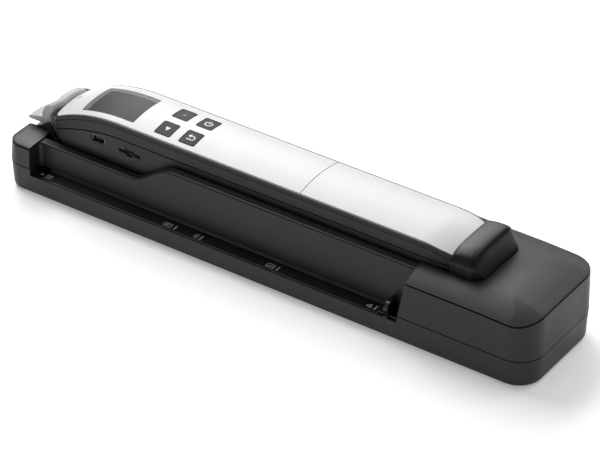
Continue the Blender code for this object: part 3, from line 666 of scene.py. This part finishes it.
NOTCH = [(-3, 18), (4.7, 18), (4.2, 31), (3.5, 41.5), (3.5, 60), (-3, 60)]


def notch():
    return prism("notch", "y", NOTCH, LEVER_Y[0] - 0.6, LEVER_Y[1] + 0.6)


def hollow():
    outline = [(7, 34), (13, 26.2), (252, 26.2), (252, 70), (7, 70)]
    return prism("hollow", "y", outline, WAND_Y - 15.6, WAND_Y + 15.6)


def make_wand_shells():
    rings = [body_ring(x) for x in wand_stations(0.4, 254.6)]
    for x, share in ((255.4, 0.985), (255.9, 0.955)):
        rings.append([(x, WAND_Y + (y - WAND_Y) * share, 34 + (z - 34) * share)
                      for _, y, z in body_ring(254.6)])
    body = loft("wand_shell", rings, "charcoal")
    carve(body, hollow())
    carve(body, notch())
    carve(body, prism("scan", "z", rounded((14, 26), (230, 38), 1.0), 20, 30))
    mouth = prism("usb", "y", rounded((29.2, 36.4), (37.6, 40.4), 0.7), 10, 20)
    card = prism("card", "y", rounded((46.4, 36.2), (60.4, 38.2), 0.4), 10, 20)
    thumb = prism("thumb", "y", circle((53.4, 38.0), 3.0, 32), 10, 15.0)
    carve(body, mouth, card, thumb)
    for x in (9.0, 234.0):
        carve(body, prism("wheel", "z", rounded((x - 0.4, 27.2), (x + 4.4, 36.8), 0.8), 20, 33))
    finish(body, "wand", "charcoal", "wand_body")

    frame_rings = [band_ring(x, groove(x) + 0.18, cover_edge(x) - RIM - 0.12, 0.0, 0.12, 0.35)
                   for x in wand_stations(0.4, 255.6)]
    band = loft("wand_band", frame_rings, "charcoal")
    carve(band, hollow())
    carve(band, notch())
    finish(band, "wand", "charcoal", "wand_frame")

    rim_rings = [band_ring(x, cover_edge(x) - RIM, cover_edge(x) + 0.14, 0.05, 0.12, 0.25)
                 for x in wand_stations(0.4, 255.6)]
    rim = loft("wand_edge_strip", rim_rings, "gloss_black")
    carve(rim, hollow())
    carve(rim, notch())
    finish(rim, "wand", "gloss_black", "wand_rim")


def cover_half(x):
    return wand_half(x) - 1.05 - 2.4 * max(1 - (x - 3.4) / 5.5, 0.0) ** 2


def crown_z(x, y):
    """The height of the white cover's outer surface."""
    t = min(abs(y - WAND_Y) / cover_half(x), 1.0)
    nose = 1 - 0.35 * max(1 - x / 14, 0.0) ** 2
    return cover_edge(x) + EDGE_STEP + (CROWN - EDGE_STEP) * nose * (1 - t * t)


def cover_ring(x, steps=28, thick=1.5):
    half = cover_half(x)
    edge = cover_edge(x) + EDGE_STEP
    outer = [(-half + 0.1, edge - 0.5), (-half, edge - 0.4), (-half + 0.05, edge - 0.14)]
    for i in range(steps + 1):
        t = math.sin(math.pi / 2 * (2 * i / steps - 1))
        y = t * (half - 0.2)
        outer.append((y, crown_z(x, WAND_Y + y)))
    outer += [(half - 0.05, edge - 0.14), (half, edge - 0.4), (half - 0.1, edge - 0.5)]
    inner = [(t * (half - 1.4), crown_z(x, WAND_Y + t * (half - 1.4)) - thick) for t in spaced(1, -1, 9)]
    return [(x, WAND_Y + y, z) for y, z in outer + inner]


BUTTONS = {"button_up": "up", "button_down": "down", "button_power": "power", "button_back": "back"}


def symbol(kind, x, y):
    """A key's symbol as printed outlines about (x, y)."""
    if kind == "up":
        return [[(x - 1.5, y - 1.2), (x + 1.5, y - 1.2), (x, y + 1.5)]]
    if kind == "down":
        return [[(x - 1.5, y + 1.3), (x, y - 1.4), (x + 1.5, y + 1.3)]]
    if kind == "power":
        broken_ring = [(x + 1.9 * math.cos(a), y + 1.9 * math.sin(a))
                       for a in map(math.radians, range(125, 416, 20))]
        return lines([broken_ring, [(x, y + 0.2), (x, y + 2.3)]], 0.6)
    bend = [(x + 0.6 + 1.3 * math.cos(a), y + 1.3 * math.sin(a))
            for a in map(math.radians, range(90, -91, -20))]
    hook = [(x - 1.5, y + 1.3)] + bend + [(x - 2.0, y - 1.3)]
    return lines([hook, [(x - 1.0, y + 2.1), (x - 2.0, y + 1.3), (x - 1.0, y + 0.5)]], 0.6)


def make_covers():
    seam = extent("battery_door", 0)[0]
    rings = [cover_ring(x) for x in [3.45, 3.6] + wand_stations(4.0, seam - 0.35)]
    rings.append([(x, y, z - 0.1) for x, y, z in cover_ring(seam - 0.22)])
    cover = loft("white_cover", rings, "white")
    low, high = corners("display_window")
    pane = rounded((low[0] - 0.2, low[1] - 0.2), (high[0] + 0.2, high[1] + 0.2), 0.9)
    carve(cover, prism("pane", "z", pane, 40, 60))
    for name, kind in BUTTONS.items():
        klow, khigh = corners(name)
        hole = rounded((klow[0] - 0.28, klow[1] - 0.28), (khigh[0] + 0.28, khigh[1] + 0.28), 1.1)
        carve(cover, prism("key", "z", hole, 46, 60))
        make_key(name, kind, klow, khigh)
    carve(cover, notch())
    soften(cover, 0.12, 2, 50, lambda spot: 18 < spot.x < 93 and 17 < spot.y < 46)
    finish(cover, "wand", "white", "front_cover")
    make_display(low, high)
    door_low, door_high = extent("battery_door", 0)
    stations = [door_low + 0.1, door_low + 0.22] + spaced(162, 225, 15) + spaced(228, door_high - 0.3, 14)
    stations.append(door_high - 0.1)
    rings = [cover_ring(x) for x in stations]
    for index in (0, -1):
        rings[index] = [(x, y, z - 0.1) for x, y, z in rings[index]]
    finish(loft("white_door", rings, "white"), "battery_door", "white", "battery_door")
    # Painted shade: a flat black mark on the cover near the nose, where the slot under the lever's hook lies
    # in shade.
    slot_shade_outline = [(6.5, 32.4), (7.5, 31.2), (8.8, 32.0), (14.2, 31.7), (14.2, 32.1), (8.8, 32.9)]
    printed("painted_slot_shade", [slot_shade_outline], crown_z, "black", "wand", "black", 0.02)


def make_key(name, kind, low, high):
    rings = []
    centre = ((low[0] + high[0]) / 2, (low[1] + high[1]) / 2)
    steps = [(0.0, 4.0), (0.0, 0.5), (0.08, 0.22), (0.25, 0.06), (0.5, 0.0), (1.6, 0.04), (3.0, 0.1)]
    for inset, drop in steps:
        outline = rounded((low[0] + inset, low[1] + inset), (high[0] - inset, high[1] - inset),
                          max(0.95 - 0.6 * inset, 0.2))
        rings.append([(x, y, crown_z(x, y) - 0.08 - drop) for x, y in outline])
    finish(loft(name + "_cap", rings, "keys"), name, "keys", name)
    look = "dim_print" if kind == "up" else "bright_print"
    printed(name + "_symbol", symbol(kind, *centre), lambda x, y: crown_z(x, y) - 0.13, look, name,
            "keys", 0.035)


def make_display(low, high):
    """The window pane follows the cover, with a paler border inside its back and left edges."""
    def pane(name, x0, x1, y0, y1, sink, thick, look, nodes=()):
        rings = []
        for x in spaced(x0, x1, 17):
            tops = [(x, y, crown_z(x, y) - sink) for y in spaced(y0, y1, 13)]
            rings.append(tops + [(x, y, z - thick) for x, y, z in reversed(tops)])
        return finish(loft(name, rings, look), "wand", "display", *nodes)
    pane("display_glass", low[0], high[0], low[1], high[1], 0.12, 1.2, "display", ["display_window"])
    pane("display_border_back", low[0] + 0.1, high[0] - 0.1, high[1] - 3.6, high[1] - 0.1, 0.1, 0.3, "bezel")
    pane("display_border_left", low[0] + 0.1, low[0] + 3.4, low[1] + 0.1, high[1] - 3.6, 0.1, 0.3, "bezel")


def make_ports():
    """The two sockets in the wand's front side, with a plain plug and card outline under them."""
    icon_y = 14.02
    plug = [[(31.8, 33.3), (31.8, 34.7), (33.8, 34.7), (33.8, 33.3), (31.8, 33.3)]]
    plug.append([(33.8, 33.65), (35.2, 33.65), (35.2, 34.35), (33.8, 34.35)])
    card = [[(52.0, 32.6), (52.0, 34.9), (53.4, 34.9), (54.2, 34.2), (54.2, 32.6), (52.0, 32.6)]]
    points, faces = [], []
    for outline in lines(plug + card, 0.3):
        start, count = len(points), len(outline)
        for depth in (icon_y - 0.05, icon_y + 0.1):
            points += [(x, depth, z) for x, z in outline]
        faces += [[start + i for i in range(count)], [start + count + i for i in range(count)]]
        faces += [[start + i, start + (i + 1) % count, start + count + (i + 1) % count, start + count + i]
                  for i in range(count)]
    finish(build("port_icons", points, faces, "dim_print"), "wand", "charcoal")
    x0, x1 = extent("usb_port", 0)
    z0, z1 = extent("usb_port", 2)

    def port_ring(y, inset, corner):
        return [(x, y, z) for x, z in rounded((x0 + inset, z0 + inset), (x1 - inset, z1 - inset), corner)]

    outside = [port_ring(20.6, 0.0, 0.7), port_ring(14.9, 0.0, 0.7), port_ring(14.75, 0.05, 0.65)]
    inside = [port_ring(14.75, 0.3, 0.5), port_ring(15.0, 0.4, 0.45), port_ring(20.0, 0.4, 0.45)]
    inside.append(port_ring(20.0, 1.8, 0.2))
    socket = loft("usb_socket", outside + inside, "steel")
    finish(socket, "wand", "steel", "usb_port")
    tongue = rounded((x0 + 1.5, z0 + 1.5), (x1 - 1.5, z0 + 2.2), 0.15, 2)
    tip = rounded((x0 + 1.65, z0 + 1.62), (x1 - 1.65, z0 + 2.08), 0.1, 2)
    rings = [[(x, y, z) for x, z in outline] for y, outline in ((15.4, tip), (15.55, tongue), (20.3, tongue))]
    finish(loft("usb_tongue", rings, "black"), "wand", "black")
    x0, x1 = extent("card_slot", 0)
    z0, z1 = extent("card_slot", 2)
    depths = [(27.8, 0.0), (14.8, 0.0), (14.65, 0.06), (14.65, 0.26), (14.8, 0.34), (26.0, 0.34)]
    rings = []
    for y, inset in depths:
        outline = rounded((x0 + inset, z0 + inset), (x1 - inset, z1 - inset), 0.3)
        rings.append([(x, y, z) for x, z in outline])
    finish(loft("card_socket", rings, "black"), "wand", "steel", "card_slot")


# ------------------------------------------------------------------ hood, lever, guide

def hood_ring(x, inset, top, foot, steps=12):
    """One arch of the hood: a wide round in front, a nearly flat top and a tighter round at the back."""
    front, back = 13.5 + inset, 50.7 - 0.4 * inset
    shoulder = min(46.0, 0.5 * (top + foot))
    back_shoulder = max(shoulder, top - 4.6)
    reach, back_reach = 11.0, 5.4
    ring = [(x, front, foot)]
    for i in range(steps + 1):
        angle = math.pi / 2 * i / steps
        z = shoulder + (top - 0.25 - shoulder) * math.sin(angle)
        ring.append((x, front + reach * (1 - math.cos(angle)), z))
    for share in (0.2, 0.4, 0.6, 0.8):
        y = front + reach + (back - back_reach - front - reach) * share
        ring.append((x, y, top - 0.25 + 0.25 * (1 - (2 * share - 1) ** 2)))
    for i in range(steps + 1):
        angle = math.pi / 2 * (1 - i / steps)
        y = back - back_reach * (1 - math.cos(angle))
        ring.append((x, y, back_shoulder + (top - 0.25 - back_shoulder) * math.sin(angle)))
    return ring + [(x, back, foot)]


def inside_ring(x, foot, steps=24):
    """The hood's hollow follows the wand's arched cover at a small distance."""
    half = 17.35
    ring = [(x, WAND_Y - half, foot)]
    for t in spaced(-1.0, 1.0, steps + 1):
        ring.append((x, WAND_Y + half * t, cover_edge(x) + 0.6 + (CROWN - 0.35) * (1 - t * t)))
    return ring + [(x, WAND_Y + half, foot)]


def make_hood():
    """The hood keeps its full height to x 257, then rounds down steeply to the block's top."""
    base = HIGH_TOP + 0.05
    stations = [(245.45, 0.35, 52.5), (245.6, 0.12, 52.75), (246.1, 0.0, 53.0), (247.4, 0.0, 53.4)]
    stations += [(249.5, 0.0, 53.8), (252.0, 0.0, 54.1), (255.0, 0.0, 54.15), (256.8, 0.05, 54.0)]
    stations += [(257.5, 0.4, 53.75), (258.1, 0.8, 53.35), (258.6, 1.1, 52.75), (259.1, 1.3, 51.9)]
    stations += [(259.9, 1.7, 49.9), (260.8, 2.3, 47.5), (261.6, 3.0, 45.3), (262.3, 3.8, 43.5)]
    stations += [(262.8, 4.6, 42.3), (263.1, 5.4, 41.7)]
    outer = [hood_ring(x, inset, top, base) for x, inset, top in stations]
    inner = [inside_ring(x, 40.0) for x in (245.0, 246.0, 248.0, 251.0, 254.0, 257.2)]
    hood = loft("hood_shell", outer, "gloss_black")
    carve(hood, loft("inside", inner, "black"))
    finish(hood, "dock", "gloss_black", "hood", angle=40)


def arc(cx, cz, radius, start, end, steps):
    return [(cx + radius * math.cos(math.radians(a)), cz + radius * math.sin(math.radians(a)))
            for a in spaced(start, end, steps)]


def lever_outline():
    """The lever seen from the front: the hub, the bar up to the hook, and the thumb paddle."""
    hub = arc(PIVOT_X, PIVOT_Z, 2.3, 200, 350, 10)
    bar_right = [(-1.5, 28.0), (-1.1, 30.0), (-0.8, 32.0), (-0.3, 34.0), (0.5, 36.2), (1.5, 38.4)]
    bar_right += [(2.6, 40.4), (3.15, 41.6)]
    hook = [(3.25, 42.8), (3.1, 43.8), (2.5, 44.5), (1.5, 44.82), (0.3, 44.85), (-0.8, 44.65)]
    hook += [(-1.8, 43.9), (-2.5, 42.7)]
    bar_left = [(-3.0, 41.2), (-3.5, 39.2), (-4.1, 37.2), (-5.0, 35.6), (-6.4, 34.6), (-8.4, 34.0)]
    paddle = [(-10.8, 33.6), (-13.0, 33.0), (-15.0, 32.5), (-16.2, 32.0), (-16.8, 31.5)]
    paddle += [(-17.0, 31.0), (-16.8, 30.6), (-16.3, 30.35)]
    underside = [(-12.0, 30.3), (-8.5, 30.2), (-7.4, 29.4), (-6.7, 27.6)]
    return hub + bar_right + hook + bar_left + paddle + underside


def lever_middle(x, z):
    """The middle that the lever's edge rounds shrink towards: the hub's, the bar's or the paddle's."""
    if z < 28.5:
        return PIVOT_X, PIVOT_Z
    return (-0.9, 37.0) if x > -4.0 else (-9.0, 32.1)


def make_lever():
    """The rocking lever: a thumb paddle, a round hub on the pin and a hook that stands at the nose."""
    front, back = LEVER_Y
    outline = lever_outline()
    stations = [(front, 0.5), (front + 0.1, 0.22), (front + 0.35, 0.05)]
    stations += [(y, 0.0) for y in spaced(front + 0.8, back - 1.6, 18)]
    stations += [(back - 0.9, 0.06), (back - 0.35, 0.25), (back, 0.7)]
    rings = []
    for y, inset in stations:
        ring = []
        sag = 0.0175 * (y - 32.0) ** 2
        for x, z in outline:
            cx, cz = lever_middle(x, z)
            reach = math.hypot(x - cx, z - cz)
            x, z = x - (x - cx) / reach * inset, z - (z - cz) / reach * inset
            z -= sag * smoothstep(z, 37.0, 44.8)
            lean = 3.4 * (1 - smoothstep(y, 19.0, 27.0))
            x -= lean * smoothstep(z, 30.0, 38.0) * smoothstep(x, -9.0, -4.0)
            if x < -4.0 and z > 30.0:
                away = min((-4.0 - x) / 13.0, 1.0)
                z -= 0.0035 * (y - 28.0) ** 2 * away * (1.0 if z > 31.2 else 0.35)
                x += 6.0 * away * smoothstep(y, 24.0, 47.0) ** 1.5
            ring.append((x, y, z))
        rings.append(ring)
    lever = loft("lever", rings, "grey")
    carve(lever, prism("bore", "y", circle((PIVOT_X, PIVOT_Z), 1.2, 32), 10, 60))
    finish(lever, "lock_lever", "grey", "lock_lever", angle=42)


def make_spring():
    """The lever's return spring: a wire coil on the dock."""
    low, high = extent("lever_spring", 2)
    middle = sum(extent("lever_spring", 0)) / 2, sum(extent("lever_spring", 1)) / 2
    reach = (extent("lever_spring", 0)[1] - extent("lever_spring", 0)[0]) / 2 - SPRING_WIRE
    rings = []
    for step in range(SPRING_STEPS + 1):
        share = step / SPRING_STEPS
        turn = share * SPRING_TURNS * 2 * math.pi
        height = low + SPRING_WIRE + (high - low - 2 * SPRING_WIRE) * share
        ring = []
        for u, v in circle((reach, height), SPRING_WIRE, 10):
            ring.append((middle[0] + u * math.cos(turn), middle[1] + u * math.sin(turn), v))
        rings.append(ring)
    spring = loft("return_spring", rings, "steel")
    finish(spring, "dock", "steel", "lever_spring")
    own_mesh(spring)


def make_cradle():
    """A thin curved rib of the dock that rises before the lever and runs down under the wand's nose."""
    path = [(-10.5, 18.75, 28.2), (-9.0, 18.75, 29.3), (-7.5, 18.75, 30.0), (-6.0, 18.75, 30.6)]
    path += [(-4.8, 18.75, 31.5), (-3.6, 18.75, 32.6), (-2.6, 18.75, 33.2)]
    path += [(-1.7, 18.65, 33.3), (-0.9, 18.4, 32.0), (-0.3, 18.15, 30.9), (0.4, 17.85, 29.8)]
    path += [(1.3, 17.5, 28.7), (2.4, 17.0, 27.7), (3.8, 16.4, 26.7), (5.5, 15.7, 25.8)]
    crest = [(-0.55, -0.4), (-0.4, -0.1), (0.0, 0.0), (0.4, -0.1), (0.55, -0.4)]
    foot_z = TROUGH_Z + 0.1
    rings = []
    for x, y, top in path:
        ring = [(x, y + side, top + drop) for side, drop in crest]
        rings.append([(x, y - 0.55, foot_z)] + ring + [(x, y + 0.55, foot_z)])
    finish(loft("nose_cradle", rings, "charcoal"), "dock", "charcoal")


def pad(name, low, high, base, top, look, corner=0.6, edge=0.2):
    """A flat rounded slab with a small round along its top edge."""
    steps = [(edge * 0.6, base), (0.0, base + edge * 0.6)]
    steps += [(0.0, top - edge), (edge * 0.3, top - edge * 0.3), (edge, top)]
    rings = []
    for inset, z in steps:
        outline = rounded((low[0] + inset, low[1] + inset), (high[0] - inset, high[1] - inset), corner)
        rings.append([(x, y, z) for x, y in outline])
    return loft(name, rings, look)


def make_guide():
    """The paper guide: a fin with a serrated front and a rounded upper corner, on a sliding foot."""
    base = extent("paper_guide", 2)[0]
    front, back, top, radius = -0.4, 8.3, 19.6, 4.0
    teeth = 13
    curve = []
    for i in range(teeth):
        z = base + 0.6 + (top - radius - base - 0.6) * i / teeth
        curve += [(front, z), (front + 0.28, z + 0.2)]
    for i in range(13):
        angle = math.radians(7.5 * i)
        curve.append((front + radius * (1 - math.cos(angle)), top - radius * (1 - math.sin(angle))))
    outline = [(front, base)] + curve + [(back, 19.1), (back, base)]
    fin = prism("guide_fin", "x", outline, 217.2, 219.6, "black")
    soften(fin, 0.2, 2, 50, lambda spot: spot.z > top - radius)
    foot = pad("guide_foot", (212.4, 1.2), (224.0, 7.4), base, base + 1.2, "black")
    tongue = pad("guide_tongue", (214.0, 6.9), (222.6, 9.7), base + 0.05, base + 1.1, "black")
    for piece in (foot, tongue):
        finish(piece, "paper_guide", "black")
    finish(fin, "paper_guide", "black", "paper_guide")


# ------------------------------------------------------------------ rollers and carried-over CAD

def make_rollers():
    for side in ("front", "rear"):
        y0, y1 = extent(f"{side}_roller_shaft", 1)
        z0, z1 = extent(f"{side}_roller_shaft", 2)
        centre = ((y0 + y1) / 2, (z0 + z1) / 2)
        for end in ("left", "right"):
            x0, x1 = extent(f"{side}_roller_{end}", 0)
            profile = [(x0, 2.3), (x0, 5.4), (x0 + 0.25, 5.7)]
            for groove_at in spaced(x0 + 4, x1 - 4, 8):
                profile += [(groove_at - 0.5, 5.8), (groove_at - 0.4, 5.45)]
                profile += [(groove_at + 0.4, 5.45), (groove_at + 0.5, 5.8)]
            profile += [(x1 - 0.25, 5.7), (x1, 5.4), (x1, 2.3)]
            spots = [[(x, centre[0] + r * c, centre[1] + r * s) for c, s in circle((0, 0), 1.0, 48)]
                     for x, r in profile]
            sleeve = loft(f"{side}_sleeve_{end}", spots, "rubber", closed=True)
            finish(sleeve, f"{side}_roller", "rubber", f"{side}_roller_{end}")


def dress_cad():
    """Every CAD node that still shows gets its slot's material."""
    slots = {entry["node"]: entry["material_slot"] for entry in frame["record"]["subparts"]}
    for name, obj in frame["nodes"].items():
        if obj.hide_render:
            continue
        obj.data.materials.clear()
        obj.data.materials.append(MATERIALS[slots[name]])
        shade(obj, 30)


# ------------------------------------------------------------------ stage

# Each light: name, place in metres, direction of its long side, size in metres, power in watts
LIGHTS = [
    ("key", (-0.81, 0.45, 1.185), (0, -0.94, 0.34), (1.46, 0.64), 19),
    ("back", (-0.55, 1.25, 0.8), (1, 0, 0), (1.5, 0.5), 8.5),
    ("overhead", (0.5, 0.5, 1.4), (0, 1, 0), (1.0, 0.6), 4.5),
    ("front_fill", (-0.6, -1.3, 0.7), (1, 0, 0), (1.0, 0.6), 0.8),
    ("right_fill", (1.4, -0.1, 0.4), (0, 1, 0), (0.9, 0.5), 0.5),
]
FLOOR_REACH, FLOOR_GLOW, WORLD_LIGHT = 6.0, 0.3, 0.14


def make_stage():
    """A pale floor that the object stands on, an even pale surround and soft lights."""
    floor_z = CAD_BOX[0].z
    mesh = bpy.data.meshes.new("floor")
    reach = FLOOR_REACH
    spots = [(-reach, -reach), (reach, -reach), (reach, reach), (-reach, reach)]
    mesh.from_pydata([(x, y, floor_z) for x, y in spots], [], [[0, 1, 2, 3]])
    pale = bpy.data.materials.new("floor")
    pale.use_nodes = True
    shader = pale.node_tree.nodes["Principled BSDF"]
    shader.inputs["Base Color"].default_value = (1.0, 1.0, 1.0, 1)
    shader.inputs["Roughness"].default_value = 0.9
    shader.inputs["Specular IOR Level"].default_value = 0.1
    shader.inputs["Emission Color"].default_value = (1, 1, 1, 1)
    shader.inputs["Emission Strength"].default_value = FLOOR_GLOW
    mesh.materials.append(pale)
    floor = bpy.data.objects.new("floor", mesh)
    bpy.context.scene.collection.objects.link(floor)

    bpy.context.scene.view_settings.view_transform = "Standard"
    world = bpy.data.worlds.new("studio")
    bpy.context.scene.world = world
    world.use_nodes = True
    background = world.node_tree.nodes["Background"]
    background.inputs["Color"].default_value = (1, 1, 1, 1)
    background.inputs["Strength"].default_value = WORLD_LIGHT

    def softbox(name, spot, long_axis, size, power):
        """A rectangular light at spot that faces the middle of the object, its long side along long_axis."""
        light = bpy.data.lights.new(name, "AREA")
        light.shape = "RECTANGLE"
        light.size, light.size_y = size
        light.energy = power
        facing = Vector(spot).normalized()
        side = Vector(long_axis)
        side = (side - facing * side.dot(facing)).normalized()
        upward = facing.cross(side)
        lamp = bpy.data.objects.new(name, light)
        lamp.matrix_world = Matrix((side, upward, facing)).transposed().to_4x4()
        lamp.location = spot
        bpy.context.scene.collection.objects.link(lamp)

    for name, spot, long_axis, size, power in LIGHTS:
        softbox(name, spot, long_axis, size, power)


CAMERA_AZIMUTH, CAMERA_ELEVATION, CAMERA_TARGET = 34.61, 34.58, (130.07, 55.11, 0.0)
CAMERA_DISTANCE, CAMERA_LENS = 1.7006, 199.9


def make_camera():
    """A long lens that looks down on the front and the right end from a fair distance."""
    azimuth, elevation = math.radians(CAMERA_AZIMUTH), math.radians(CAMERA_ELEVATION)
    target = at(*CAMERA_TARGET)
    level = math.cos(elevation)
    back = Vector((math.sin(azimuth) * level, -math.cos(azimuth) * level, math.sin(elevation)))
    data = bpy.data.cameras.new("camera")
    data.sensor_width = 36.0
    data.lens = CAMERA_LENS
    data.clip_start, data.clip_end = 0.05, 50.0
    camera = bpy.data.objects.new("camera", data)
    camera.location = target + back * CAMERA_DISTANCE
    camera.rotation_euler = (-back).to_track_quat("-Z", "Y").to_euler()
    bpy.context.scene.collection.objects.link(camera)
    bpy.context.scene.camera = camera


make_camera()
make_stage()
make_lower_shell()
make_upper_shell()
make_strip()
make_feet()
make_hood()
make_cradle()
make_lever()
make_spring()
make_guide()
make_rollers()
make_wand_shells()
make_covers()
make_ports()
dress_cad()
